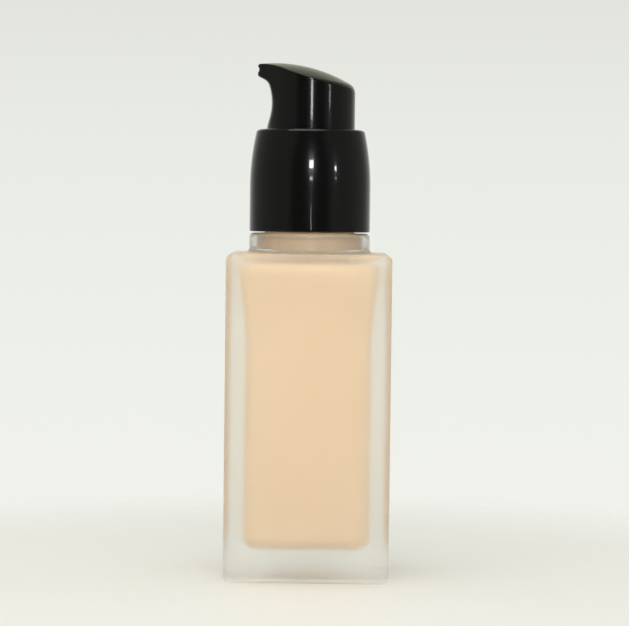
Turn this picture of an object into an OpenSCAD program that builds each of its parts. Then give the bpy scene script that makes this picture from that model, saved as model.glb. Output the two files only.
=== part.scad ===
// Square frosted-glass foundation bottle, 30 ml, with a screw-on treatment pump.
// Millimetres. Origin at the centre of the standing face, +Z up, nozzle towards -X.

/* [Glass bottle] */
// Width and depth of the square glass body
body_w = 33; // [31:0.5:36]
// Height of the glass body, base to shoulder
body_h = 65.5; // [62:0.5:72]
// Radius of the four upright glass edges
edge_r = 2; // [1.5:0.1:3]
// Radius of the softened rims at base and shoulder
rim_r = 1.4; // [0.6:0.1:1.6]
// Thickness of the glass floor
floor_t = 6.5; // [5:0.5:9]
// Thickness of the side walls
wall_t = 3.8; // [3:0.1:5]
// Thickness of the side walls just under the shoulder
shoulder_wall_t = 2.4; // [2:0.1:3]
// Depth of the push-up under the base
push_up = 1; // [0.4:0.1:1.5]

/* [Neck finish] */
// Diameter of the neck ring under the collar
ring_d = 24.5; // [24.2:0.1:26]
// Height of the neck ring
ring_h = 4; // [3:0.1:5]
// Diameter over the neck thread
thread_d = 19.8; // [19.6:0.1:19.9]
// Diameter of the neck at the thread root
root_d = 17.9; // [17.8:0.1:18.2]
// Thread pitch
pitch = 3.175; // [3:0.025:3.3]
// Bore of the mouth
mouth_d = 12; // [11.8:0.1:13]
// Bore inside the neck ring, below the mouth
throat_d = 14.4; // [13:0.1:15]
// Height of the finish above the neck ring
finish_h = 10.6; // [10.4:0.1:11.4]

/* [Collar] */
// Outer diameter of the glossy collar
collar_d = 24.6; // [24:0.1:24.8]
// Height of the collar
collar_h = 20.7; // [20.5:0.1:22]
// Height of the straight lower part of the collar
collar_straight_h = 9; // [8:0.5:13]
// Radius of the curve that draws the collar in above it
collar_curve_r = 52; // [46:1:70]

/* [Pump] */
// Travel of the pump head
stroke = 4.5; // [3:0.1:4.6]
// Bore of the metering chamber
chamber_d = 7.5; // [7:0.1:7.6]
// Free play between stem and piston that opens the outlet
lost_motion = 0.6; // [0.4:0.1:0.8]
// Outer diameter of the stem
stem_d = 4.4; // [4.2:0.1:4.6]
// Outer diameter of the dip tube
tube_d = 3.5; // [3.2:0.1:3.6]
// Diameter of the inlet ball
ball_d = 3; // [2.8:0.1:3.1]
// Turns of the return spring
spring_turns = 7; // [5:1:7]
// Wire diameter of the return spring
wire_d = 0.5; // [0.3:0.05:0.55]

/* [Pump head] */
// Diameter of the pump head
head_d = 18; // [17.2:0.1:18.2]
// Distance from the axis to the nozzle tip
nozzle_reach = 10.85; // [10:0.1:11.5]
// Height of the pad's crest above the collar
crest_h = 13.46; // [13:0.1:15]
// Length radius of the crowned pad
pad_long_r = 30; // [27:1:34]
// Cross radius of the crowned pad
pad_cross_r = 20; // [17:1:22]
// Diameter of the outlet
outlet_d = 1.2; // [0.8:0.1:1.4]

/* [Hidden] */
$fn = 96;

// Clearances
seat_gap = 0.05;       // faces that meet across a joint
slide_gap = 0.08;      // stem in its guide
lip_gap = 0.03;        // piston lips in the chamber
press = 0.02;          // radial bite of a push fit
fluid_gap = 0.1;       // fill to glass
pump_gap = 0.2;        // fill to housing and tube

// Heights, from the base up
ring_top = body_h + ring_h;
land_z = ring_top + finish_h;
collar_z = ring_top + 0.3;
collar_top = collar_z + collar_h;
gasket_t = 0.8;
flange_t = 1;
deck_t = 1;
flange_z = land_z + seat_gap + gasket_t;
flange_top = flange_z + flange_t;
deck_z = flange_top + seat_gap;
deck_top = deck_z + deck_t;
chaplet_z = deck_top + seat_gap;
chaplet_t = 0.8;

// Radii shared by mating pieces
ring_r = ring_d / 2;
root_r = root_d / 2;
mouth_r = mouth_d / 2;
collar_r = collar_d / 2;
closure_r = collar_r - 1.2;
deck_hole_r = 6.3;
barrel_r = 5.6;
chamber_r = chamber_d / 2;
socket_r = chamber_r + 0.85;
stem_r = stem_d / 2;
stem_bore_r = 1.2;
tube_r = tube_d / 2;
ball_r = ball_d / 2;
head_r = head_d / 2;

// Levels inside the pump
chamber_top = flange_top - 4.45;
chamber_floor = chamber_top - 13;
spring_seat = chamber_floor - 4;
ball_seat = spring_seat - 3.8;
tube_stop = ball_seat - 2.6;
tail_end = tube_stop - 7.1;
rod_head_z = chamber_top - 6.8;
rod_head_t = 2;
sleeve_z = rod_head_z + rod_head_t + seat_gap;
sleeve_top = sleeve_z + 2.5;
stem_foot = sleeve_top + lost_motion + seat_gap;
stem_top = collar_top + 4;
fill_top = ring_top + 3;

// Neck thread: the cap's thread lies below the glass one by thread_lag
thread_z = ring_top + 2.6;
neck_turns = 1.5;
cap_turns = 1;
cap_start = 180;
thread_lag = 1.1;

// Pump head
head_foot = deck_top + stroke + 0.3;
crest_z = collar_top + crest_h;
crest_x = -7.3;
scoop_r = 11.7;
scoop_x = -8.07;
scoop_z = collar_top + 5.3;
scoop_axis_x = 30;
throat_r = 2.2;
throat_angle = 17.4;
lip_slope = 29;
outlet_z = crest_z - 1.38;
elbow_z = crest_z - 3;

// Points along an arc of radius r about [x, y], from angle a0 to a1.
function arc(x, y, r, a0, a1, steps = 8) =
    [for (i = [0:steps]) let (a = a0 + (a1 - a0) * i / steps) [x + r * cos(a), y + r * sin(a)]];

// Triangles that close a tube of rings, each ring holding `sides` points.
function tube_faces(rings, sides) = concat(
    [for (i = [0:rings - 2], j = [0:sides - 1]) let (k = (j + 1) % sides)
        [i * sides + j, i * sides + k, (i + 1) * sides + k]],
    [for (i = [0:rings - 2], j = [0:sides - 1]) let (k = (j + 1) % sides)
        [i * sides + j, (i + 1) * sides + k, (i + 1) * sides + j]],
    [for (j = [1:sides - 2]) [0, j + 1, j]],
    [for (j = [1:sides - 2]) [(rings - 1) * sides, (rings - 1) * sides + j, (rings - 1) * sides + j + 1]]);

// Screw thread of `turns` turns, fading in and out over its first and last 30 degrees.
module thread(foot_r, crest_r, foot_half, crest_half, z, start, turns) {
    steps = 36 * turns;
    points = [for (i = [0:steps])
        let (a = start + turns * 360 * i / steps,
             height = z + pitch * a / 360,
             fade = min(1, 0.08 + i / 3, 0.08 + (steps - i) / 3),
             r = foot_r + (crest_r - foot_r) * fade,
             foot = foot_half,
             crest = foot_half + (crest_half - foot_half) * fade)
        for (p = [[foot_r, -foot], [r, -crest], [r, crest], [foot_r, foot]])
            [p[0] * cos(a), p[0] * sin(a), height + p[1]]];
    outward = crest_r > foot_r;
    faces = tube_faces(steps + 1, 4);
    polyhedron(points, outward ? faces : [for (f = faces) [f[0], f[2], f[1]]], convexity = 6);
}

// Square block with rounded uprights and softened rims, standing on z.
module soft_block(half_w, upright_r, z, top, low_r, high_r) {
    hull()
        for (x = [-1, 1], y = [-1, 1])
            translate([x * (half_w - upright_r), y * (half_w - upright_r), 0])
                rotate_extrude($fn = 32)
                    polygon(concat(
                        [[0, z]],
                        arc(upright_r - low_r, z + low_r, low_r, -90, 0, 4),
                        arc(upright_r - high_r, top - high_r, high_r, 0, 90, 4),
                        [[0, top]]));
}

// Room inside the glass, shrunk by `gap`: straight sides that flare towards the shoulder, then the neck.
module cavity(gap, top) {
    low = body_w / 2 - wall_t - gap;
    high = body_w / 2 - shoulder_wall_t - gap;
    corner = 4;
    flare_z = body_h * 0.74;
    roof_z = body_h - 1.9;
    soft_block(low, corner, floor_t + gap, flare_z, 1.8, 0.1);
    hull() {
        soft_block(low, corner, flare_z - 0.2, flare_z, 0.05, 0.05);
        soft_block(high, corner, roof_z - 2, roof_z, 0.1, 1.5);
    }
    hull() {
        soft_block(high, corner, roof_z - 1.9, roof_z - 1.5, 0.05, 0.05);
        translate([0, 0, roof_z]) cylinder(r = mouth_r + 3 - gap, h = 0.9 - gap, $fn = 48);
    }
    rotate_extrude()
        polygon([
            [0, roof_z], [throat_d / 2 - gap, roof_z], [throat_d / 2 - gap, ring_top - 1],
            [mouth_r - gap, ring_top + 1.6], [mouth_r - gap, top], [0, top]]);
}

module neck_profile() {
    fillet = 1;
    bead = 0.8;
    polygon(concat(
        [[0, body_h - 3], [ring_r + fillet, body_h - 3]],
        arc(ring_r + fillet, body_h + fillet, fillet, 270, 180, 6),
        arc(ring_r - bead, ring_top - bead, bead, 0, 90, 6),
        arc(root_r + 0.5, ring_top + 0.5, 0.5, 270, 180, 4),
        arc(root_r - 0.5, land_z - 0.5, 0.5, 0, 90, 4),
        [[0, land_z]]));
}

module glass_bottle() {
    dish_r = body_w / 3;
    dish_sphere_r = (dish_r * dish_r + push_up * push_up) / (2 * push_up);
    color([0.87, 0.88, 0.82, 0.6])
        difference() {
            union() {
                soft_block(body_w / 2, edge_r, 0, body_h, rim_r, rim_r);
                rotate_extrude() neck_profile();
                thread(root_r - 0.3, thread_d / 2, 0.85, 0.4, thread_z, 0, neck_turns);
            }
            cavity(0, land_z + 1);
            translate([0, 0, push_up - dish_sphere_r]) sphere(r = dish_sphere_r);
        }
}

// The make-up itself, cut back from the glass and from the pump that stands in it.
module foundation_fill() {
    color([0.92, 0.79, 0.64])
        difference() {
            cavity(fluid_gap, fill_top);
            translate([0, 0, spring_seat - 1]) cylinder(r = chamber_r + 1 + pump_gap, h = fill_top);
            translate([0, 0, tail_end - pump_gap]) cylinder(r = 3.9 + pump_gap, h = fill_top);
            translate([0, 0, floor_t + 1]) cylinder(r = tube_r + pump_gap, h = fill_top);
        }
}

module neck_gasket() {
    color("white")
        translate([0, 0, land_z + seat_gap])
            difference() {
                cylinder(r = 8.7, h = gasket_t);
                translate([0, 0, -1]) cylinder(r = barrel_r + 0.15, h = gasket_t + 2);
            }
}

// Outside of the housing, from the tube socket up to the flange.
module housing_outside() {
    polygon([
        [0, tail_end], [2.5, tail_end], [2.7, tail_end + 0.3], [2.7, tube_stop],
        [2.9, tube_stop + 0.5], [2.9, ball_seat + 1], [3.9, spring_seat - 0.6],
        [3.9, spring_seat + 0.4], [chamber_r + 1, spring_seat + 1.8],
        [chamber_r + 1, chamber_top - 0.6], [barrel_r, chamber_top], [barrel_r, flange_z],
        [8.7, flange_z], [8.7, flange_top], [0, flange_top]]);
}

// Room inside the housing: mouth with its snap groove, metering chamber, spring well, ball well, tube socket.
module housing_inside() {
    groove_z = flange_top - 2.6;
    polygon([
        [0, flange_top + 1], [socket_r, flange_top + 1],
        [socket_r, groove_z + 0.5], [socket_r + 0.2, groove_z + 0.3],
        [socket_r + 0.2, groove_z - 0.3], [socket_r, groove_z - 0.5], [socket_r, chamber_top],
        [chamber_r + 0.25, chamber_top], [chamber_r, chamber_top - 0.4],
        [chamber_r, chamber_floor], [2.9, chamber_floor - 0.8], [2.9, spring_seat],
        [ball_r + 0.25, spring_seat], [ball_r + 0.25, ball_seat], [0.9, ball_seat - 1.1],
        [0.9, tube_stop], [0, tube_stop]]);
    translate([0, tail_end - 1]) square([tube_r - press, tube_stop - tail_end + 1]);
}

module pump_housing() {
    rib_t = 0.5;
    vent_z = chamber_top - 1.6;
    color("whitesmoke") {
        difference() {
            rotate_extrude()
                difference() {
                    housing_outside();
                    housing_inside();
                }
            translate([chamber_r - 1, 0, vent_z]) rotate([0, 90, 0]) cylinder(r = 0.4, h = 4);
        }
        // Four ribs keep the ball in its well and let the liquid past.
        for (a = [45:90:315])
            rotate(a)
                translate([1.1, -rib_t / 2, spring_seat - 0.85]) cube([1.4, rib_t, 0.8]);
    }
}

module dip_tube() {
    tube_foot = floor_t + 1.4;
    color("white")
        difference() {
            translate([0, 0, tube_foot]) cylinder(r = tube_r, h = tube_stop - seat_gap - tube_foot);
            translate([0, 0, tube_foot - 1]) cylinder(r = tube_r - 0.6, h = tube_stop);
            // The foot is cut to a V, so that it can't seal itself against the floor.
            translate([0, 0, tube_foot + 1.2 - 2 * sqrt(2)]) rotate([0, 45, 0]) cube([4, 8, 4], center = true);
        }
}

module inlet_ball() {
    cone_angle = atan((ball_r + 0.25 - 0.9) / 1.1);
    apex_z = ball_seat - 1.1 - 0.9 / tan(cone_angle);
    color("silver")
        translate([0, 0, apex_z + ball_r / sin(cone_angle) + 0.02]) sphere(r = ball_r);
}

// Helical spring with closed end turns: the coil rises slowly in the first and last turn.
module return_spring() {
    coil_r = 2.35;
    sides = 6;
    steps_per_turn = 20;
    steps = spring_turns * steps_per_turn;
    low = spring_seat + wire_d / 2 + 0.02;
    high = rod_head_z - wire_d / 2 - 0.02;
    closed = wire_d * 1.1;
    open_rise = (high - low - 2 * closed) / (spring_turns - 2);
    function rise(t) =
        t < 1 ? closed * t
        : t > spring_turns - 1 ? high - low - closed * (spring_turns - t)
        : closed + open_rise * (t - 1);
    points = [for (i = [0:steps], j = [0:sides - 1])
        let (t = i / steps_per_turn, a = 360 * t, b = 360 * j / sides, r = coil_r + wire_d / 2 * cos(b))
        [r * cos(a), r * sin(a), low + rise(t) + wire_d / 2 * sin(b)]];
    color("silver")
        polyhedron(points, tube_faces(steps + 1, sides), convexity = 10);
}

// Rod that carries the spring's thrust and closes the foot of the piston. Its fluted shank runs in the stem,
// whose foot stands on its shoulder.
module valve_rod() {
    shank_top = stem_foot + 4.2;
    head_top = rod_head_z + rod_head_t;
    color("ivory")
        difference() {
            rotate_extrude()
                polygon([
                    [0, rod_head_z - 1], [1.7, rod_head_z - 1], [1.9, rod_head_z - 0.8], [1.9, rod_head_z],
                    [2.7, rod_head_z], [2.7, rod_head_z + 0.8], [2.3, head_top], [1.5, head_top],
                    [1.5, stem_foot - seat_gap], [stem_bore_r - 0.03, stem_foot - seat_gap],
                    [stem_bore_r - 0.03, shank_top - 0.3], [0.9, shank_top], [0, shank_top]]);
            for (a = [0:90:270])
                rotate(a)
                    translate([0.75, -0.3, stem_foot - 1.2]) cube([1, 0.6, 6]);
        }
}

// Two-lipped piston that slides on the rod and in the chamber.
module piston() {
    lip_r = chamber_r - lip_gap;
    waist_r = lip_r - 0.35;
    low = sleeve_z - 0.45;
    top = chamber_top - 0.3;
    color("white")
        rotate_extrude()
            polygon([
                [1.75, sleeve_z], [2.3, sleeve_z], [2.6, sleeve_z + 0.4], [2.6, sleeve_z + 1.3],
                [3, sleeve_z + 1.1], [lip_r - 0.3, low], [lip_r, low], [lip_r, low + 0.5],
                [waist_r, low + 1.5], [waist_r, top - 1.5], [lip_r, top - 0.5], [lip_r, top],
                [lip_r - 0.3, top], [2.9, sleeve_z + 2.4], [2.6, sleeve_z + 2.2],
                [2.6, sleeve_top - 0.1], [2.5, sleeve_top], [1.75, sleeve_top]]);
}

module stem() {
    color("ivory")
        rotate_extrude()
            polygon([
                [stem_bore_r, stem_foot], [stem_r, stem_foot], [stem_r, stem_top - 0.4],
                [stem_r - 0.3, stem_top], [stem_bore_r, stem_top]]);
}

// Ring that clips into the housing's mouth, holds the cap on it and guides the stem.
module chaplet() {
    clip_z = flange_top - 2.6;
    guide_r = stem_r + slide_gap;
    foot_z = chamber_top + 0.1;
    color("white")
        rotate_extrude()
            polygon([
                [guide_r + 0.3, foot_z + 3.2], [3.2, foot_z + 2.6], [3.2, foot_z],
                [socket_r - 0.25, foot_z], [socket_r - seat_gap, foot_z + 0.3],
                [socket_r - seat_gap, clip_z - 0.45], [socket_r + 0.15, clip_z - 0.25],
                [socket_r + 0.15, clip_z + 0.25], [socket_r - seat_gap, clip_z + 0.45],
                [socket_r - seat_gap, flange_top], [deck_hole_r - 0.15, flange_top],
                [deck_hole_r - 0.15, chaplet_z], [7.2, chaplet_z], [7.2, chaplet_z + chaplet_t - 0.2],
                [7, chaplet_z + chaplet_t], [guide_r + 0.2, chaplet_z + chaplet_t],
                [guide_r, chaplet_z + chaplet_t - 0.2], [guide_r, foot_z + 3.5]]);
}

// Threaded cap under the collar; its deck presses the housing's flange onto the neck.
module closure_cap() {
    thread_clear_r = thread_d / 2 + 0.15;
    foot_z = collar_z + 0.6;
    color("dimgray")
        union() {
            rotate_extrude()
                polygon([
                    [thread_clear_r, foot_z + 0.4], [thread_clear_r + 0.3, foot_z], [closure_r, foot_z],
                    [closure_r, deck_top], [deck_hole_r, deck_top], [deck_hole_r, deck_z],
                    [thread_clear_r, deck_z]]);
            thread(thread_clear_r + 0.3, root_r + 0.25, 0.75, 0.35,
                   thread_z - thread_lag, cap_start, cap_turns);
        }
}

// Glossy collar pushed over the cap: straight below, drawn in above, with a flat top round the head.
module collar() {
    lip = 0.8;
    curve_z = collar_z + collar_straight_h;
    curve_end = asin((collar_top - lip - curve_z) / collar_curve_r);
    shoulder_r = collar_r - collar_curve_r * (1 - cos(curve_end));
    hole_r = head_r + 0.27;
    color([0.08, 0.08, 0.08])
        rotate_extrude()
            polygon(concat(
                [[closure_r + seat_gap, collar_z], [collar_r - 0.15, collar_z], [collar_r, collar_z + 0.15]],
                arc(collar_r - collar_curve_r, curve_z, collar_curve_r, 0, curve_end, 10),
                arc(shoulder_r - lip, collar_top - lip, lip, curve_end, 90, 6),
                [[hole_r + 0.2, collar_top], [hole_r, collar_top - 0.2], [hole_r, collar_top - 1.2],
                 [hole_r + 0.5, collar_top - 1.7], [hole_r + 0.5, deck_top + seat_gap],
                 [closure_r + seat_gap, deck_top + seat_gap]]));
}

// Space that the finger scoop takes from the head: a long arc, a tight throat and a slope up to the nozzle's
// tip, all turned about an upright axis far behind the head's own, so that the scoop is nearly flat across.
module scoop() {
    scoop_height = 5.4;
    long_r = scoop_axis_x - scoop_x + scoop_r;
    reach = scoop_r - throat_r;
    throat_x = long_r - reach * cos(throat_angle);
    throat_z = scoop_z + reach * sin(throat_angle);
    slope_run = 6;
    translate([scoop_axis_x, 0, 0])
        rotate_extrude()
            polygon(concat(
                [[long_r, scoop_z - scoop_height]],
                arc(long_r, scoop_z, scoop_r, 180 + asin(scoop_height / scoop_r), 180 - throat_angle, 12),
                arc(throat_x, throat_z, throat_r, 180 - throat_angle, 90 + lip_slope, 8),
                [[throat_x - throat_r * sin(lip_slope) + slope_run,
                  throat_z + throat_r * cos(lip_slope) + slope_run * tan(lip_slope)]]));
}

// Barrel whose skin is the crowned pad; it turns about an axis along Y below the head.
module pad_barrel() {
    translate([crest_x, 0, crest_z - pad_long_r])
        rotate([90, 0, 0])
            rotate_extrude()
                intersection() {
                    translate([pad_long_r - pad_cross_r, 0]) circle(r = pad_cross_r);
                    translate([0, -12]) square([pad_long_r + 1, 24]);
                }
}

// Nozzle: its flanks run from the barrel's skin, as tangents in plan, to a narrow end. They die away downwards,
// so that the part of the barrel that dips into the collar stays round.
module nozzle() {
    tip_half = 1.9;
    tip_far = norm([nozzle_reach, tip_half]);
    tangent_angle = atan(tip_half / nozzle_reach) + acos(head_r / tip_far);
    tangent_x = -head_r * cos(tangent_angle);
    tangent_y = head_r * sin(tangent_angle);
    dip_z = collar_top + stroke + 0.3;
    far = nozzle_reach + 1;
    intersection() {
        translate([0, 0, dip_z - 1])
            linear_extrude(height = 12)
                polygon([[tangent_x, -tangent_y], [-nozzle_reach, -tip_half],
                         [-nozzle_reach, tip_half], [tangent_x, tangent_y]]);
        rotate([90, 0, 0])
            linear_extrude(height = 2 * head_r, center = true)
                polygon([[tangent_x - 0.5, dip_z], [-far, dip_z + 0.7 * (far + tangent_x)],
                         [-far, crest_z + 1], [tangent_x + 1, crest_z + 1], [tangent_x + 1, dip_z]]);
    }
}

module pump_head() {
    wall = 1.25;
    room_top = collar_top + 7.5;
    boss_foot = chaplet_z + chaplet_t + stroke + 0.3;
    outlet_tilt = atan((outlet_z - elbow_z) / nozzle_reach);
    color([0.07, 0.07, 0.07])
        difference() {
            intersection() {
                union() {
                    translate([0, 0, head_foot]) cylinder(r = head_r, h = crest_z - head_foot + 1);
                    nozzle();
                }
                pad_barrel();
            }
            scoop();
            // Hollow of the skirt, round the boss that takes the stem
            translate([0, 0, head_foot - 1]) cylinder(r = head_r - wall, h = collar_top + 0.5 - head_foot + 1);
            difference() {
                translate([0, 0, collar_top]) cylinder(r = 6.4, h = room_top - collar_top);
                translate([0, 0, collar_top - 1]) cylinder(r = 3.4, h = room_top - collar_top + 2);
            }
            // Dished tip, outlet and riser
            translate([-nozzle_reach - 0.65, 0, outlet_z]) rotate([90, 0, 0])
                cylinder(r = 0.9, h = 10, center = true);
            translate([0, 0, elbow_z]) rotate([0, -90 + outlet_tilt, 0])
                cylinder(d = outlet_d, h = nozzle_reach + 2);
            translate([0, 0, stem_top - 1]) cylinder(r = stem_bore_r, h = elbow_z + 0.5 - stem_top + 1);
        }
    color([0.07, 0.07, 0.07])
        difference() {
            translate([0, 0, boss_foot]) cylinder(r = 3.4, h = room_top - boss_foot + 0.5);
            translate([0, 0, boss_foot - 1]) cylinder(r = stem_r - press, h = stem_top + 0.1 - boss_foot + 1);
            translate([0, 0, stem_top - 1]) cylinder(r = stem_bore_r, h = 20);
        }
}

glass_bottle();
foundation_fill();
neck_gasket();
pump_housing();
dip_tube();
inlet_ball();
return_spring();
valve_rod();
piston();
stem();
chaplet();
closure_cap();
collar();
pump_head();
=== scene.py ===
from math import acos, asin, atan, cos, radians, sin, sqrt, tan

import bpy
import numpy as np
from mathutils import Matrix, Vector


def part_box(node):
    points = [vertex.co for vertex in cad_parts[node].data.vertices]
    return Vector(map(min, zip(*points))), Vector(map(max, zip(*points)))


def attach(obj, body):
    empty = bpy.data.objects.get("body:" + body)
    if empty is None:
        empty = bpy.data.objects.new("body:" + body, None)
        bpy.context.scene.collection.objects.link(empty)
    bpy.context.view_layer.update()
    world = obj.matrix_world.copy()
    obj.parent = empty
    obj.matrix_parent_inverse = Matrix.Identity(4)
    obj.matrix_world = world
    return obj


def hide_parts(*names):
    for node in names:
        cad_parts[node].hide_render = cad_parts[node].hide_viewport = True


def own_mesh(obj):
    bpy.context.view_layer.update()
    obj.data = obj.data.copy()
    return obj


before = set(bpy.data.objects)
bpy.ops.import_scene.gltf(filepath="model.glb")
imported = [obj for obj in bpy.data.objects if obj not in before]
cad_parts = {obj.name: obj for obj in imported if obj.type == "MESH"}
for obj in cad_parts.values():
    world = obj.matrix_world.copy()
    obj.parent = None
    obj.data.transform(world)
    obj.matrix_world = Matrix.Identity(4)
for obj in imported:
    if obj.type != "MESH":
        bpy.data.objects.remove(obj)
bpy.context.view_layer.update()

MM = 0.001

# ---------------------------------------------------------------------------------------------------------
# Glass bottle: thick clear soda-lime glass, blown into a square mould, with a round neck ring and a threaded
# finish. Acid has etched the body to a fine satin, so what stands behind it shows through a little soft. It has
# hardly touched the ring under the mask, and the finish and the bore keep the smooth skin of the blow.

glass_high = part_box("glass_bottle")[1] / MM
half_width, land_z = glass_high.x, glass_high.z
ring_top = land_z - 10.6
body_height = ring_top - 4
upright_radius = 2
rim_radius = 1.4
ring_radius = 12.25
root_radius, crest_radius = 8.95, 9.9
mouth_radius, throat_radius = 6, 7.2
floor_z, roof_z = 6.5, body_height - 1.9
low_half, high_half = half_width - 3.8, half_width - 2.4
flare_z = 0.74 * body_height
push_up, dish_radius = 1, 11
step_z, step_height = ring_top - 1.5, 3.6


def arc(x, z, radius, start, end, steps):
    """Points along a circle's arc, as rows of (x, z); the angles are in degrees."""
    angle = np.radians(np.linspace(start, end, steps + 1))
    return np.stack([x + radius * np.cos(angle), z + radius * np.sin(angle)], 1)


def directions(flat_steps, corner_steps):
    """Directions round the axis, in radians: few over the middle of each flat side, many over its ends."""
    quarter = np.concatenate([
        np.linspace(0, 33, flat_steps, endpoint=False),
        np.linspace(33, 57, corner_steps, endpoint=False),
        np.linspace(57, 90, flat_steps, endpoint=False)])
    return np.radians(np.concatenate([quarter + 90 * k for k in range(4)]))


def rounded_square(half, corner, angle):
    """Distance from the axis to a square of that half width with corners of that radius. A ray meets a flat
    side at half / cos, and a corner at the far crossing with the corner's circle. With corner equal to half
    the square is a circle."""
    c, s = np.abs(np.cos(angle)), np.abs(np.sin(angle))
    flat = half / np.maximum(c, s)
    centre = half - corner
    bend = centre * (c + s) + np.sqrt(np.maximum(corner**2 - centre**2 * (c - s) ** 2, 0))
    return np.where(flat * np.minimum(c, s) > centre, bend, flat)


def loft(sections, angle):
    """Rings of points, one for each section (half width, corner radius, height)."""
    half, corner, z = np.array(sections, float).T[:, :, None]
    r = rounded_square(half, corner, angle)
    return np.stack([r * np.cos(angle), r * np.sin(angle), z + 0 * r], 2)


def round_sections(profile):
    """Sections of a turned shape, from its profile (radius, height)."""
    return [(r, r, z) for r, z in profile]


def square_sections(profile, full, corner, offset=0.0):
    """Sections of a square shape from its profile (half width, height). The corner's radius is given at the
    full half width and shrinks with it, so that a rim is rounded like the hull of four turned corners."""
    return [(h + offset, max(corner - (full - h), 0.3) + offset, z) for h, z in profile]


def skin(name, rows, wrap=False):
    """A closed mesh piece from rings of points in millimetres. A first or last ring is one pole point, or
    with wrap the last ring joins the first. Its faces are turned outwards by the sign of its volume. The
    piece's face "bands", the ring before each face, are returned too."""
    n, m = rows.shape[:2]
    if wrap:
        points = rows.reshape(-1, 3)
        ring = np.arange(n * m).reshape(n, m)
        lower, upper = ring, np.roll(ring, -1, 0)
    else:
        points = np.concatenate([rows[:1, 0], rows[1:-1].reshape(-1, 3), rows[-1:, 0]])
        ring = 1 + np.arange((n - 2) * m).reshape(n - 2, m)
        lower, upper = ring[:-1], ring[1:]
    quads = np.stack([lower, np.roll(lower, -1, 1), np.roll(upper, -1, 1), upper], -1)
    band = np.repeat(np.arange(len(lower)) + (0 if wrap else 1), m)
    quads = quads.reshape(-1, 4)
    faces = quads.tolist()
    if not wrap:
        first = np.stack([0 * ring[0], np.roll(ring[0], -1), ring[0]], -1)
        last = np.stack([0 * ring[0] + len(points) - 1, ring[-1], np.roll(ring[-1], -1)], -1)
        faces += first.tolist() + last.tolist()
        band = np.concatenate([band, np.zeros(m, int), np.full(m, n - 2)])
    a, b, c, d = (points[quads[:, k]] for k in range(4))
    volume = np.sum(a * np.cross(b, c) + a * np.cross(c, d))
    if volume < 0:
        faces = [face[::-1] for face in faces]
    mesh = bpy.data.meshes.new(name)
    mesh.from_pydata((points * MM).tolist(), [], faces)
    mesh.polygons.foreach_set("use_smooth", np.ones(len(faces), bool))
    mesh.update()
    piece = bpy.data.objects.new(name, mesh)
    bpy.context.scene.collection.objects.link(piece)
    return piece, band


def crisp(piece, angle=32):
    """Shades edges sharper than the angle as edges, and flat faces flat right up to their rounded rims."""
    piece.data.set_sharp_from_angle(angle=radians(angle))
    piece.modifiers.new("flat faces", "WEIGHTED_NORMAL").keep_sharp = True


def linear(colour):
    """An sRGB hex colour as linear red, green, blue and alpha."""
    value = np.array([int(colour[k:k + 2], 16) for k in (1, 3, 5)]) / 255
    value = np.where(value <= 0.04045, value / 12.92, ((value + 0.055) / 1.055) ** 2.4)
    return (*value.tolist(), 1.0)


def add(tree, kind, sockets=None, **settings):
    """Adds a node. Settings are its properties; sockets gives its inputs, by name or number, a value or a
    link from another node's output."""
    node = tree.nodes.new(kind)
    for key, value in settings.items():
        setattr(node, key, value)
    for key, value in (sockets or {}).items():
        if isinstance(value, bpy.types.NodeSocket):
            tree.links.new(value, node.inputs[key])
        else:
            node.inputs[key].default_value = value
    return node


def new_material(name):
    """An empty material, its node tree and its output node."""
    made = bpy.data.materials.new(name)
    made.use_nodes = True
    made.node_tree.nodes.clear()
    return made, made.node_tree, made.node_tree.nodes.new("ShaderNodeOutputMaterial")


def grain(tree, size_mm, detail=2.0):
    """Noise on the piece itself whose lumps are about that many millimetres across, from 0 to 1."""
    place = add(tree, "ShaderNodeTexCoord").outputs["Object"]
    noise = add(tree, "ShaderNodeTexNoise", {"Vector": place, "Scale": 0.5 / (size_mm * MM),
                                             "Detail": detail})
    return noise.outputs["Fac"]


def spread(tree, value, low, high):
    """Stretches a 0 to 1 value between low and high."""
    return add(tree, "ShaderNodeMapRange", {"Value": value, "From Min": 0.3, "From Max": 0.7,
                                            "To Min": low, "To Max": high}).outputs["Result"]


def bump(tree, height, depth_mm):
    """A bump whose full height is that many millimetres."""
    return add(tree, "ShaderNodeBump", {"Height": height, "Distance": depth_mm * MM,
                                        "Strength": 1.0}).outputs["Normal"]


def thread_height(angle, z):
    """How far the thread stands out of the finish: a trapezoid round a helix, faded at both of its ends."""
    start_z, pitch, turns = ring_top + 2.6, 3.175, 1.5
    foot_half, crest_half, fade_turns = 0.78, 0.4, 0.08
    height = 0 * (angle + z)
    for lap in (0, 1):
        turn = angle / (2 * np.pi) + lap
        off = np.abs(z - start_z - pitch * turn)
        fade = np.clip(np.minimum(turn, turns - turn) / fade_turns, 0, 1)
        height = np.maximum(height, fade * np.clip((foot_half - off) / (foot_half - crest_half), 0, 1))
    return height * (crest_radius - root_radius)


def step_in(wide, narrow, shares):
    """Points of the bore's smooth step from the wide throat inside the ring up to the narrower mouth."""
    return [(wide + (narrow - wide) * (1 - cos(np.pi * k)) / 2, step_z + step_height * k) for k in shares]


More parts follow.
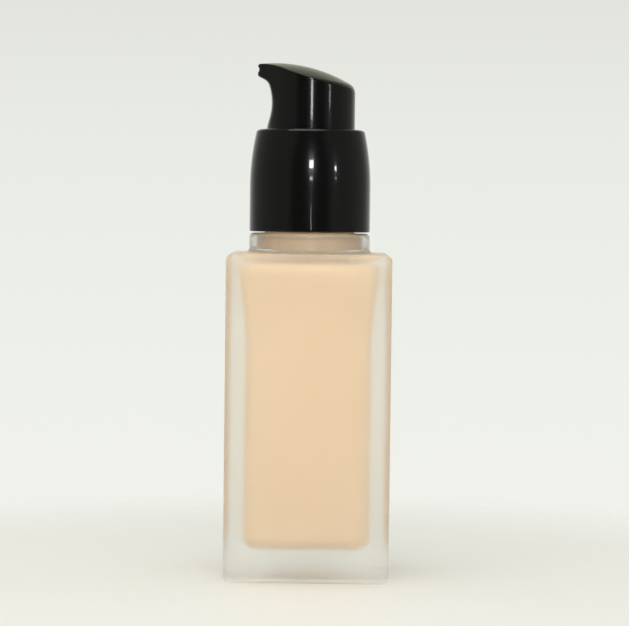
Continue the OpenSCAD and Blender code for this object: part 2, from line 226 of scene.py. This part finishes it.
def bore_sections(offset=0.0):
    """Sections of the room inside the glass, from its floor up to the foot of the neck's bore."""
    corner = 4
    floor_edge, roof_edge = 2.2, 1.5
    low = [(low_half - inset, floor_z) for inset in (6, floor_edge + 0.3)]
    low += arc(low_half - floor_edge, floor_z + floor_edge, floor_edge, -90, 0, 8).tolist()
    low += [(low_half, floor_z + floor_edge + 0.4), (low_half, flare_z - 3)]
    lean = np.linspace(0, 1, 9)
    flare = low_half + (high_half - low_half) * lean**1.5
    low += list(zip(flare, flare_z + (roof_z - roof_edge - 1 - flare_z) * lean))
    low += arc(high_half - roof_edge, roof_z - roof_edge, roof_edge, 0, 90, 8).tolist()
    made = square_sections(low, high_half, corner + high_half - low_half, offset)
    roof = [(12, 8.5, roof_z + 0.25), (10.5, 9.6, roof_z + 0.5), (9, 9, roof_z + 0.85), (7.8, 7.8, roof_z + 1)]
    made += [(h + offset, c + offset, z + offset) for h, c, z in roof]
    return made


around = directions(9, 20)
dish_ball = (dish_radius**2 + push_up**2) / (2 * push_up)
dish = dish_radius * np.linspace(0, 1, 11)
outside = round_sections(zip(dish, push_up - dish_ball + np.sqrt(dish_ball**2 - dish**2)))
rim_start = half_width - rim_radius
outside += [(dish_radius + k * (rim_start - dish_radius), (1 - k) * dish_radius + k, 0.0)
            for k in (0.05, 0.3, 0.6, 0.9)]
walls = np.concatenate([
    arc(rim_start, rim_radius, rim_radius, -90, 0, 8),
    [(half_width, z) for z in np.linspace(rim_radius + 0.3, body_height - rim_radius - 0.3, 12)],
    arc(rim_start, body_height - rim_radius, rim_radius, 0, 90, 8)])
outside += square_sections(walls, half_width, upright_radius)
foot = ring_radius + 1
outside += [(rim_start + k * (foot - rim_start), 1 + k * (foot - 1), body_height) for k in (0.1, 0.4, 0.7)]
bead = 0.8
neck = np.concatenate([
    arc(foot, body_height + 1, 1, 270, 180, 8),
    arc(ring_radius - bead, ring_top - bead, bead, 0, 90, 8),
    arc(root_radius + 0.5, ring_top + 0.5, 0.5, 270, 180, 4),
    [(root_radius, z) for z in np.linspace(ring_top + 0.7, land_z - 0.7, 52)],
    arc(root_radius - 0.5, land_z - 0.5, 0.5, 0, 90, 5),
    arc(mouth_radius + 0.4, land_z - 0.4, 0.4, 90, 180, 5),
    [(mouth_radius, z) for z in (land_z - 3, ring_top + 3)],
    step_in(throat_radius, mouth_radius, np.linspace(1, 0, 9)),
    [(throat_radius, ring_top - 2.5), (throat_radius, roof_z + 2)]])
outside += round_sections(neck)
bore = bore_sections()[::-1]
glass_rings = loft(outside + bore + [(0, 0, floor_z)], around)
finish = np.isclose(glass_rings[:, 0, 0], root_radius, atol=0.01)
x, y, z = (glass_rings[finish, :, k] for k in range(3))
stretch = 1 + thread_height(around, z) / root_radius
glass_rings[finish, :, 0], glass_rings[finish, :, 1] = x * stretch, y * stretch
glass, band = skin("glass", glass_rings)
crisp(glass)


def glass_material(name, roughness, hollow_mm, lump_mm, veil):
    """Clear soda-lime glass. The camera and mirrored rays see glass that bends light; lamps pass straight
    through it, tinted, as they would through so thin a wall. Where it is etched, its pits send part of the
    light back as a white veil. Iron in the melt takes a little red and blue."""
    made, tree, out = new_material(name)
    texture = grain(tree, lump_mm, 3.0)
    surface = add(tree, "ShaderNodeBsdfPrincipled", {
        "Base Color": linear("#fefffe"), "IOR": 1.5, "Transmission Weight": 1.0 - veil,
        "Roughness": spread(tree, texture, roughness * 0.9, roughness * 1.1),
        "Normal": bump(tree, texture, hollow_mm)})
    clear = add(tree, "ShaderNodeBsdfTransparent", {"Color": linear("#f4f7f2")})
    lamp_ray = add(tree, "ShaderNodeLightPath").outputs["Is Shadow Ray"]
    both = add(tree, "ShaderNodeMixShader", {"Fac": lamp_ray, 1: surface.outputs["BSDF"],
                                             2: clear.outputs["BSDF"]})
    melt = add(tree, "ShaderNodeVolumeAbsorption", {"Color": linear("#d4d8be"), "Density": 4.0})
    tree.links.new(both.outputs["Shader"], out.inputs["Surface"])
    tree.links.new(melt.outputs["Volume"], out.inputs["Volume"])
    return made


glass.data.materials.append(glass_material("soda-lime glass, acid-etched satin", 0.52, 0.004, 0.25, 0.12))
glass.data.materials.append(glass_material("soda-lime glass, lightly etched", 0.22, 0.02, 1.2, 0.1))
glass.data.materials.append(glass_material("soda-lime glass, fire-polished", 0.06, 0.02, 6.0, 0.0))

# The etch ends near the top of the ring's foot fillet, and the plain skin starts in the fillet above the ring.
neck_start = len(outside) - len(neck)
zone = (band >= neck_start + 6).astype(np.int32) + (band >= neck_start + 22)
glass.data.polygons.foreach_set("material_index", zone)
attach(glass, "bottle")
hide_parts("glass_bottle")

# ---------------------------------------------------------------------------------------------------------
# Liquid make-up: an opaque beige emulsion of oil, water and pigment. It wets the glass all over, stands in
# the neck round the pump and climbs a little where it meets the walls.

fill_z = ring_top + 3
wet = 0.02
meniscus = 0.35
housing_clear, tail_clear, tube_clear = 4.95, 4.1, 1.95
shelf_z, tail_z, tube_z = ring_top - 10, ring_top - 22.7, floor_z + 1
fill_sections = bore_sections(wet)
fill_sections = [(0, 0, floor_z - wet)] + [(h, c, max(z, floor_z - wet)) for h, c, z in fill_sections]
fill_sections[1:3] = [(h, c, floor_z - wet) for h, c, z in fill_sections[1:3]]
neck_r = mouth_radius + wet
throat_r = throat_radius + wet
way_in = np.linspace(0, 1, 9)
surface_r = neck_r + (housing_clear - neck_r) * way_in
surface_z = fill_z + meniscus * (np.exp(-6 * way_in) + np.exp(-6 * (1 - way_in)))
fill_sections += round_sections([
    (throat_r, roof_z + 1.3), *step_in(throat_r, neck_r, np.linspace(0, 1, 9)),
    (neck_r, fill_z - 0.7), *zip(surface_r, surface_z)])
fill_sections += round_sections([
    (housing_clear, fill_z - 1), (housing_clear, shelf_z), (tail_clear, shelf_z), (tail_clear, tail_z),
    (tube_clear, tail_z), (tube_clear, tube_z), (0, tube_z)])
makeup, _ = skin("foundation", loft(fill_sections, around))
crisp(makeup)

made, tree, out = new_material("liquid foundation, cream emulsion")
streaks = grain(tree, 5.0, 4.0)
pigment = add(tree, "ShaderNodeMix", {"Factor": spread(tree, streaks, 0, 1), 6: linear("#e4c5a1"),
                                      7: linear("#e1c09a")}, data_type="RGBA")
cream = add(tree, "ShaderNodeBsdfPrincipled", {
    "Base Color": pigment.outputs[2], "Roughness": spread(tree, streaks, 0.3, 0.42),
    "IOR": 1.45, "Specular IOR Level": 0.2, "Normal": bump(tree, grain(tree, 1.5), 0.02)})
tree.links.new(cream.outputs["BSDF"], out.inputs["Surface"])
makeup.data.materials.append(made)
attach(makeup, "bottle")
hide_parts("foundation_fill")

# ---------------------------------------------------------------------------------------------------------
# Collar: a thin sleeve of black ABS, moulded against a polished steel cavity and pressed over the screw cap.
# It is straight below, draws in above and ends in a flat ring round the pump head.

collar_low, collar_high = (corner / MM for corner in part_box("collar"))
collar_r, collar_z, collar_top = collar_high.x, collar_low.z, collar_high.z
sleeve_r = collar_r - 1.15
deck_top = collar_top - 7.45
straight_height, draw_radius, lip = 9, 52, 0.8
draw_z = collar_z + straight_height
draw_end = asin((collar_top - lip - draw_z) / draw_radius)
lip_x = collar_r - draw_radius * (1 - cos(draw_end)) - lip
hole_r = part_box("pump_head")[1].x / MM + 0.27
foot_round = 0.25
collar_profile = np.concatenate([
    arc(collar_r - foot_round, collar_z + foot_round, foot_round, -90, 0, 5),
    [(collar_r, collar_z + 0.6), (collar_r, collar_z + 4), (collar_r, collar_z + 8)],
    arc(collar_r - draw_radius, draw_z, draw_radius, 0, np.degrees(draw_end), 14),
    arc(lip_x, collar_top - lip, lip, np.degrees(draw_end) + 6, 90, 10),
    arc(hole_r + 0.2, collar_top - 0.2, 0.2, 90, 180, 5),
    [(hole_r, collar_top - 1.2), (hole_r + 0.5, collar_top - 1.7), (hole_r + 0.5, deck_top),
     (sleeve_r, deck_top), (sleeve_r, collar_z + 0.15), (sleeve_r + 0.15, collar_z)]])
turn = np.radians(np.arange(0, 360, 2.5))
collar, _ = skin("collar", loft(round_sections(collar_profile), turn), wrap=True)
crisp(collar)


def gloss_black(name):
    """Black ABS from a polished mould: a mirror gloss with a faint orange peel, and the finest of hairline
    scuffs, which dull it here and there."""
    made, tree, out = new_material(name)
    place = add(tree, "ShaderNodeTexCoord").outputs["Object"]
    lengthwise = add(tree, "ShaderNodeMapping", {"Vector": place, "Scale": (9000, 9000, 500)})
    scuffs = add(tree, "ShaderNodeTexNoise", {"Vector": lengthwise.outputs["Vector"], "Scale": 1.0,
                                              "Detail": 3.0}).outputs["Fac"]
    rare = add(tree, "ShaderNodeMapRange", {"Value": scuffs, "From Min": 0.6, "From Max": 0.75,
                                            "To Min": 0.2, "To Max": 0.3}).outputs["Result"]
    peel = bump(tree, grain(tree, 0.7, 2.0), 0.005)
    surface = add(tree, "ShaderNodeBsdfPrincipled", {
        "Base Color": linear("#090909"), "IOR": 1.25, "Roughness": rare, "Normal": peel,
        "Coat Weight": 1.0, "Coat Roughness": 0.05, "Coat IOR": 1.4, "Coat Normal": peel})
    tree.links.new(surface.outputs["BSDF"], out.inputs["Surface"])
    return made


polished = gloss_black("black ABS, mould-polished")
collar.data.materials.append(polished)
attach(collar, "closure")
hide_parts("collar")

# ---------------------------------------------------------------------------------------------------------
# Pump head: one moulding in the same black ABS. A barrel carries a crowned pad, spark-textured in the mould,
# and a short nozzle over a scoop for the finger; inside, a boss is pushed onto the stem.

head_low, head_high = (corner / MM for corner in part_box("pump_head"))
head_r, reach = head_high.x, -head_low.x
skirt_z, crest_z = head_low.z, head_high.z
crest_x, pad_long, pad_cross = -7.3, 30, 20
outlet_z, outlet_r, outlet_depth = crest_z - 1.38, 0.6, 1.5
groove_r, groove_offset = 0.9, 0.65
tip_half, edge_blend = 1.9, 0.45
dip_z, dip_rise = collar_top + 4.8, 3.4
scoop_x, scoop_z, scoop_r, scoop_axis = -8.07, collar_top + 5.3, 11.7, 30
hook_r, hook_angle, lip_slope = 2.2, radians(17.4), radians(29)


def soft_min(a, b, blend):
    """The smaller of two values, with the crossing rounded over that width."""
    share = np.clip(0.5 + 0.5 * (b - a) / blend, 0, 1)
    return b * (1 - share) + a * share - blend * share * (1 - share)


def pad_height(x, y):
    """Height of the crowned pad: a circle across it, turned about an axis along Y below the head."""
    swing = pad_long - pad_cross + np.sqrt(pad_cross**2 - y**2)
    return crest_z - pad_long + np.sqrt(swing**2 - (x - crest_x) ** 2)


def scoop_front(z):
    """Place along -X of the scoop's deepest line: a long arc, then a tight hook, then the slope to the tip."""
    long_x = scoop_x - scoop_r
    hook_x = long_x + (scoop_r - hook_r) * cos(hook_angle)
    hook_z = scoop_z + (scoop_r - hook_r) * sin(hook_angle)
    hook_start = scoop_z + scoop_r * sin(hook_angle)
    hook_end = hook_z + hook_r * cos(lip_slope)
    long_arc = long_x + np.sqrt(np.maximum(scoop_r**2 - (z - scoop_z) ** 2, 0))
    hook = hook_x + np.sqrt(np.maximum(hook_r**2 - (z - hook_z) ** 2, 0))
    slope = hook_x + hook_r * sin(lip_slope) - (z - hook_end) / tan(lip_slope)
    return np.where(z < hook_start, long_arc, np.where(z < hook_end, hook, slope))


def side_radius(angle, z):
    """Distance from the axis to the head's side. Its plan is a circle whose tangents run to the ends of the
    nozzle's tip; the tangents die away below, where the barrel dips into the collar. The scoop cuts it back
    along a circle about an axis far behind the head's."""
    from_nose = np.abs(np.mod(angle, 2 * np.pi) - np.pi)
    c, s = np.cos(from_nose), np.sin(from_nose)
    ahead = c > 0.6
    groove = np.sqrt(np.maximum(groove_r**2 - (z - outlet_z) ** 2, groove_offset**2)) - groove_offset
    end = (reach - groove) / np.where(ahead, c, 1)
    tangent = atan(tip_half / reach) + acos(head_r / sqrt(reach**2 + tip_half**2))
    flank = np.where(from_nose < tangent, head_r / np.cos(tangent - np.minimum(from_nose, tangent)), head_r)
    rise = np.clip((z - dip_z) / dip_rise, 0, 1)
    flank = head_r + (flank - head_r) * rise**2 * (3 - 2 * rise)
    plan = np.where(ahead, soft_min(end, flank, edge_blend), flank)
    from_axis = scoop_axis - scoop_front(z)
    scoop = -scoop_axis * c + np.sqrt(np.maximum(from_axis**2 - (scoop_axis * s) ** 2, 0))
    return soft_min(plan, scoop, edge_blend)


# Columns: close together across the outlet, so that its rings lie on them, and wider round the back.
half_patch, rings = 0.8, 8
patch = np.arctan(np.linspace(-half_patch, half_patch, 2 * rings + 1) / reach)
side = np.concatenate([patch[-1] + np.radians([0.7, 1.5, 2.5, 3.6, 4.8, 6.2, 7.6]),
                       np.radians(np.arange(14, 40, 1.5)), np.radians(np.arange(41, 178, 3))])
column = np.pi + np.concatenate([-side[::-1], patch, side, [np.pi]])
middle = len(side) + rings

# The pad's rim is all but sharp at the nozzle and roundest at the back. Its arc leaves the side upright and
# meets the pad's slope, which is found in a few steps.
fillet = 0.25 + 1.95 * ((1 + np.cos(column)) / 2) ** 2.6
probe = side_radius(column, crest_z - 1.0 + 0 * column)
centre_r = probe - fillet
tilt = 0 * column
for _ in range(6):
    touch = centre_r + fillet * np.sin(tilt)
    tx, ty = touch * np.cos(column), touch * np.sin(column)
    step = 0.01
    drop = pad_height(tx, ty) - pad_height(tx * (1 + step / touch), ty * (1 + step / touch))
    tilt = np.arctan(drop / step)
fillet_z = pad_height(tx, ty) - fillet * np.cos(tilt)

# Rows of the side, as heights on the nozzle's centre line; elsewhere they keep their share of the height.
nose_top = fillet_z[middle]
patch_z = np.linspace(outlet_z - half_patch, outlet_z + half_patch, 2 * rings + 1)
nose_rows = np.concatenate([
    [skirt_z + 0.15, skirt_z + 0.6], np.arange(collar_top - 1, scoop_z + 2.7, 0.6),
    np.arange(scoop_z + 2.8, patch_z[0] - 0.06, 0.12), patch_z, [nose_top - 0.01]])
share = (nose_rows - skirt_z) / (nose_top - skirt_z)
side_z = skirt_z + share[:, None] * (fillet_z - skirt_z)
side_r = side_radius(column[None], side_z)
side_rings = np.stack([side_r * np.cos(column), side_r * np.sin(column), side_z], 2)

# The outlet: square rings of grid points round the middle of the nozzle's end are drawn into circles, and
# those inside its edge are pushed in.
first = int(np.argmin(np.abs(nose_rows - patch_z[0])))
ring_radii = np.array([0, 0.15, 0.3, 0.45, 0.57, 0.59, outlet_r, 0.7, half_patch])
ring_depth = np.array([1, 1, 1, 1, 1, 0.97, 0, 0, 0]) * outlet_depth
ring_round = np.array([1, 1, 1, 1, 1, 1, 1, 0.6, 0])
across, up = np.meshgrid(np.arange(-rings, rings + 1), np.arange(-rings, rings + 1))
level = np.maximum(np.abs(across), np.abs(up))
span = np.maximum(np.hypot(across, up), 1e-9)
circle = ring_radii[level] / span
square = ring_radii[level] / np.maximum(level, 1)
scale = ring_round[level] * circle + (1 - ring_round[level]) * square
patch_y, patch_up = -across * scale, up * scale
end_x = -reach + np.sqrt(np.maximum(groove_r**2 - patch_up**2, groove_offset**2)) - groove_offset
window = side_rings[first:first + 2 * rings + 1, middle - rings:middle + rings + 1]
edge = (ring_round[level] == 0)[..., None]
placed = np.stack([end_x + ring_depth[level], patch_y, outlet_z + patch_up], 2)
window[...] = np.where(edge, window, placed)

bend = np.linspace(0, 1, 9)[1:, None] * (np.pi / 2 - tilt)
fillet_r = centre_r + fillet * np.cos(bend)
fillet_rings = np.stack([fillet_r * np.cos(column), fillet_r * np.sin(column),
                         fillet_z + fillet * np.sin(bend)], 2)
inward = np.array([0.995, 0.98, 0.95, 0.9, *np.linspace(0.82, 0.06, 16), 0.0])[:, None]
pad_x, pad_y = inward * touch * np.cos(column), inward * touch * np.sin(column)
pad_rings = np.stack([pad_x, pad_y, pad_height(pad_x, pad_y)], 2)

# Under the skirt: the hollow, and the boss with its bore and riser.
wall, hollow_r, boss_r, socket_r, riser_r = 1.25, 6.4, 3.4, 2.18, 1.2
boss_foot, stem_end, room_z, elbow_z = collar_top - 1.85, collar_top + 4.1, collar_top + 7.5, crest_z - 2.68
under = [
    (head_r - 0.15, skirt_z), (head_r - wall + 0.15, skirt_z), (head_r - wall, skirt_z + 0.15),
    (head_r - wall, collar_top + 0.5), (hollow_r, collar_top + 0.5), (hollow_r, room_z - 0.4),
    (hollow_r - 0.4, room_z), (boss_r + 0.3, room_z), (boss_r, room_z - 0.3), (boss_r, boss_foot + 0.2),
    (boss_r - 0.2, boss_foot), (socket_r + 0.2, boss_foot), (socket_r, boss_foot + 0.2),
    (socket_r, stem_end), (riser_r, stem_end), (riser_r, elbow_z), (0, elbow_z)]
under_rings = loft(round_sections(under), column)
head_rings = np.concatenate([pad_rings[::-1], fillet_rings[::-1], side_rings[::-1], under_rings])
head, band = skin("pump_head", head_rings)
crisp(head, 40)

made, tree, out = new_material("black ABS, spark-textured")
pits = grain(tree, 0.22, 1.0)
wide = grain(tree, 2.5, 2.0)
satin = add(tree, "ShaderNodeBsdfPrincipled", {
    "Base Color": linear("#1a1a13"), "IOR": 1.5, "Roughness": spread(tree, wide, 0.26, 0.32),
    "Sheen Weight": 0.4, "Sheen Roughness": 0.35, "Sheen Tint": linear("#f2f2d0"),
    "Normal": bump(tree, pits, 0.04)})
tree.links.new(satin.outputs["BSDF"], out.inputs["Surface"])
head.data.materials.append(polished)
head.data.materials.append(made)
head.data.polygons.foreach_set("material_index", (band < len(pad_rings) + 5).astype(np.int32))
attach(head, "head")
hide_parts("pump_head")

# ---------------------------------------------------------------------------------------------------------
# Return spring: stainless wire coiled cold, with its end turns closed. It stands on a ledge of the housing.

spring_low, spring_high = (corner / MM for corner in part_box("return_spring"))
wire_r, spring_turns = 0.25, 7
coil_r = spring_high.x - wire_r
bottom, top = spring_low.z + wire_r, spring_high.z - wire_r
turns = np.linspace(0, spring_turns, spring_turns * 28 + 1)
closed_rise = 2.2 * wire_r
rise = np.interp(turns, [0, 1, spring_turns - 1, spring_turns],
                 [0, closed_rise, top - bottom - closed_rise, top - bottom])
swing = np.radians(np.arange(0, 360, 36))
wire_x = coil_r + wire_r * np.cos(swing)
helix = np.stack([wire_x * np.cos(2 * np.pi * turns)[:, None], wire_x * np.sin(2 * np.pi * turns)[:, None],
                  bottom + rise[:, None] + wire_r * np.sin(swing)], 2)
ends = helix.mean(1, keepdims=True) + 0 * helix
spring, _ = skin("return_spring_wire", np.concatenate([ends[:1], helix, ends[-1:]]))
crisp(spring, 50)

steel, tree, out = new_material("stainless steel, drawn bright")
place = add(tree, "ShaderNodeTexCoord").outputs["Object"]
lines = add(tree, "ShaderNodeTexNoise", {"Vector": place, "Scale": 9000.0, "Detail": 2.0}).outputs["Fac"]
metal = add(tree, "ShaderNodeBsdfPrincipled", {
    "Base Color": linear("#c9c7c2"), "Metallic": 1.0, "Roughness": spread(tree, lines, 0.18, 0.3)})
tree.links.new(metal.outputs["BSDF"], out.inputs["Surface"])
spring.data.materials.append(steel)
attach(spring, "pump_body")
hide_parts("return_spring")
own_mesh(spring)


def paint(node, material):
    """Gives a piece that comes from the frame its finish."""
    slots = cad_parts[node].data.materials
    slots.clear()
    slots.append(material)


paint("inlet_ball", steel)

# ---------------------------------------------------------------------------------------------------------
# The pump's hidden mouldings: housing, chaplet, stem and rod in natural polypropylene, the piston and the
# dip tube in softer polyethylene, and a washer punched from foamed polyethylene sheet.


def natural_plastic(name, colour, roughness, lump_mm, hollow_mm, glow):
    """Unpigmented polyolefin: milky, because its crystals scatter light a little way in, and softly uneven
    where it shrank in the mould."""
    made, tree, out = new_material(name)
    texture = grain(tree, lump_mm)
    surface = add(tree, "ShaderNodeBsdfPrincipled", {
        "Base Color": linear(colour), "IOR": 1.49, "Subsurface Weight": glow, "Subsurface Scale": 0.6 * MM,
        "Roughness": spread(tree, texture, roughness * 0.85, roughness * 1.15),
        "Normal": bump(tree, texture, hollow_mm)})
    tree.links.new(surface.outputs["BSDF"], out.inputs["Surface"])
    return made


moulded = natural_plastic("polypropylene, natural, moulded", "#e9e7dd", 0.35, 2.0, 0.004, 0.25)
for node in ("pump_housing", "chaplet", "stem", "valve_rod"):
    paint(node, moulded)
paint("piston", natural_plastic("polyethylene, white, moulded", "#f3f3ee", 0.45, 1.5, 0.006, 0.2))
paint("dip_tube", natural_plastic("polyethylene, extruded", "#e6e8e2", 0.3, 4.0, 0.01, 0.35))
paint("neck_gasket", natural_plastic("polyethylene foam, skived", "#efefe9", 0.7, 0.3, 0.05, 0.1))

# ---------------------------------------------------------------------------------------------------------
# Screw cap: black polypropylene straight from a plain mould, hidden by the collar, with the thread inside.

made, tree, out = new_material("black polypropylene, as moulded")
texture = grain(tree, 0.6, 3.0)
surface = add(tree, "ShaderNodeBsdfPrincipled", {
    "Base Color": linear("#171717"), "IOR": 1.49, "Roughness": spread(tree, texture, 0.3, 0.42),
    "Normal": bump(tree, texture, 0.006)})
tree.links.new(surface.outputs["BSDF"], out.inputs["Surface"])
paint("closure_cap", made)

# ---------------------------------------------------------------------------------------------------------
# Table: a smooth white board that fades into the pale room.

table_radius = 0.5
ring = np.radians(np.arange(0, 360, 5))
reach_out = np.array([0.0, 0.05, 0.1, 0.2, 0.35, 1.0])[:, None] * table_radius / MM
table_rows = np.stack([reach_out * np.cos(ring), reach_out * np.sin(ring), -0.05 + 0 * reach_out * ring], 2)
table_mesh = bpy.data.meshes.new("table")
table_points = table_rows.reshape(-1, 3) * MM
index = np.arange(len(table_points)).reshape(len(reach_out), -1)
table_faces = np.stack([index[:-1], index[1:], np.roll(index[1:], -1, 1), np.roll(index[:-1], -1, 1)], -1)
table_mesh.from_pydata(table_points.tolist(), [], table_faces.reshape(-1, 4).tolist())
table = bpy.data.objects.new("table", table_mesh)
bpy.context.scene.collection.objects.link(table)
made, tree, out = new_material("white laminate")
place = add(tree, "ShaderNodeTexCoord").outputs["Object"]
away = add(tree, "ShaderNodeVectorMath", {0: place}, operation="LENGTH").outputs["Value"]
fade = add(tree, "ShaderNodeMapRange", {"Value": away, "From Min": 0.05, "From Max": 0.16},
           interpolation_type="SMOOTHERSTEP").outputs["Result"]
board = add(tree, "ShaderNodeBsdfPrincipled", {"Base Color": linear("#eeeeea"), "Roughness": 0.45,
                                               "Specular IOR Level": 0.3})
nothing = add(tree, "ShaderNodeBsdfTransparent")
mix = add(tree, "ShaderNodeMixShader", {"Fac": fade, 1: board.outputs["BSDF"], 2: nothing.outputs["BSDF"]})
tree.links.new(mix.outputs["Shader"], out.inputs["Surface"])
table.data.materials.append(made)

# ---------------------------------------------------------------------------------------------------------
# Room: pale and evenly lit. What the gloss mirrors is dimmer than what lights the bottle, with a dark gap
# on the near side and a bright wall opposite.

world = bpy.data.worlds.new("studio")
bpy.context.scene.world = world
world.use_nodes = True
tree = world.node_tree
tree.nodes.clear()
out = tree.nodes.new("ShaderNodeOutputWorld")
ray = add(tree, "ShaderNodeLightPath").outputs
look = add(tree, "ShaderNodeTexCoord").outputs["Generated"]
axes = add(tree, "ShaderNodeSeparateXYZ", {"Vector": look}).outputs


def ramp(tree, value, stops):
    """A smooth colour scale; stops are (place, hex colour)."""
    node = add(tree, "ShaderNodeValToRGB", {"Fac": value})
    scale = node.color_ramp
    for place, colour in stops[1:-1]:
        scale.elements.new(place)
    for element, (place, colour) in zip(scale.elements, stops):
        element.position, element.color = place, linear(colour)
    return node.outputs["Color"]


height = add(tree, "ShaderNodeMapRange", {
    "Value": axes["Z"], "From Min": -0.2, "From Max": 0.1}).outputs["Result"]
wall = ramp(tree, height, [(0.0, "#efeddf"), (0.2, "#f1f2ec"), (0.45, "#eef0ea"), (0.75, "#e9ebe5"),
                           (1.0, "#e0e1db")])
front = add(tree, "ShaderNodeMapRange", {
    "Value": axes["Y"], "From Min": -1.0, "From Max": 1.0}).outputs["Result"]
mirrored = ramp(tree, front, [(0.0, "#2c2c2c"), (0.07, "#383838"), (0.13, "#767774"), (0.8, "#80817d"),
                              (0.93, "#a9aaa5"), (1.0, "#e0e1dc")])
outside_glass = add(tree, "ShaderNodeMath", {
    0: 1.0, 1: ray["Is Transmission Ray"]}, operation="SUBTRACT").outputs["Value"]
gloss = add(tree, "ShaderNodeMath", {
    0: ray["Is Glossy Ray"], 1: outside_glass}, operation="MULTIPLY").outputs["Value"]
seen = add(tree, "ShaderNodeBackground", {"Color": wall, "Strength": 1.0})
reflected = add(tree, "ShaderNodeBackground", {"Color": mirrored, "Strength": 1.0})
both = add(tree, "ShaderNodeMixShader", {"Fac": gloss, 1: seen.outputs["Background"],
                                         2: reflected.outputs["Background"]})
tree.links.new(both.outputs["Shader"], out.inputs["Surface"])


def lamp(name, place, size, watts, colour, aim=(0, 0, 60)):
    """A rectangular lamp at a place in millimetres, turned to the bottle and unseen by the camera."""
    data = bpy.data.lights.new(name, "AREA")
    data.shape = "RECTANGLE"
    data.size, data.size_y = size[0] * MM, size[1] * MM
    data.energy = watts
    data.color = linear(colour)[:3]
    made = bpy.data.objects.new(name, data)
    made.location = Vector(place) * MM
    made.rotation_euler = (Vector(aim) - Vector(place)).to_track_quat("-Z", "Y").to_euler()
    made.visible_camera = False
    bpy.context.scene.collection.objects.link(made)
    return made


lamp("ceiling softbox", (-60, -140, 520), (420, 420), 0.9, "#fffdf8")
fill = lamp("front fill", (0, -620, 150), (600, 300), 0.6, "#fffdf8")
fill.visible_glossy = fill.visible_transmission = False
lamp("flash", (19, -505, 180), (64, 30), 0.3, "#ffffff", (0, 0, 83))
lamp("flash bracket, upper", (20, -505, 118), (46, 16), 0.035, "#ffffff", (0, 0, 95))
lamp("flash bracket, lower", (20, -505, 67), (6, 14), 0.004, "#ffffff", (0, 0, 72))
lamp("window, upper pane", (430, -370, 166), (30, 16), 0.07, "#f6f8ff", (0, 0, 85))
lamp("window, lower pane", (430, -370, 122), (40, 8), 0.008, "#f6f8ff", (0, 0, 85))

# ---------------------------------------------------------------------------------------------------------
# Camera: half a metre in front of the bottle, just above its shoulder, looking a little down.

camera_data = bpy.data.cameras.new("camera")
camera_data.sensor_width = 36
camera_data.lens = 140.3
camera = bpy.data.objects.new("camera", camera_data)
bpy.context.scene.collection.objects.link(camera)
bpy.context.scene.camera = camera
pitch, roll = radians(2.55), radians(0.66)
camera.matrix_world = (Matrix.Translation(Vector((1.18, -500, 75.5)) * MM)
                       @ Matrix.Rotation(radians(90) - pitch, 4, "X") @ Matrix.Rotation(roll, 4, "Z"))
bpy.context.scene.view_settings.view_transform = "Standard"
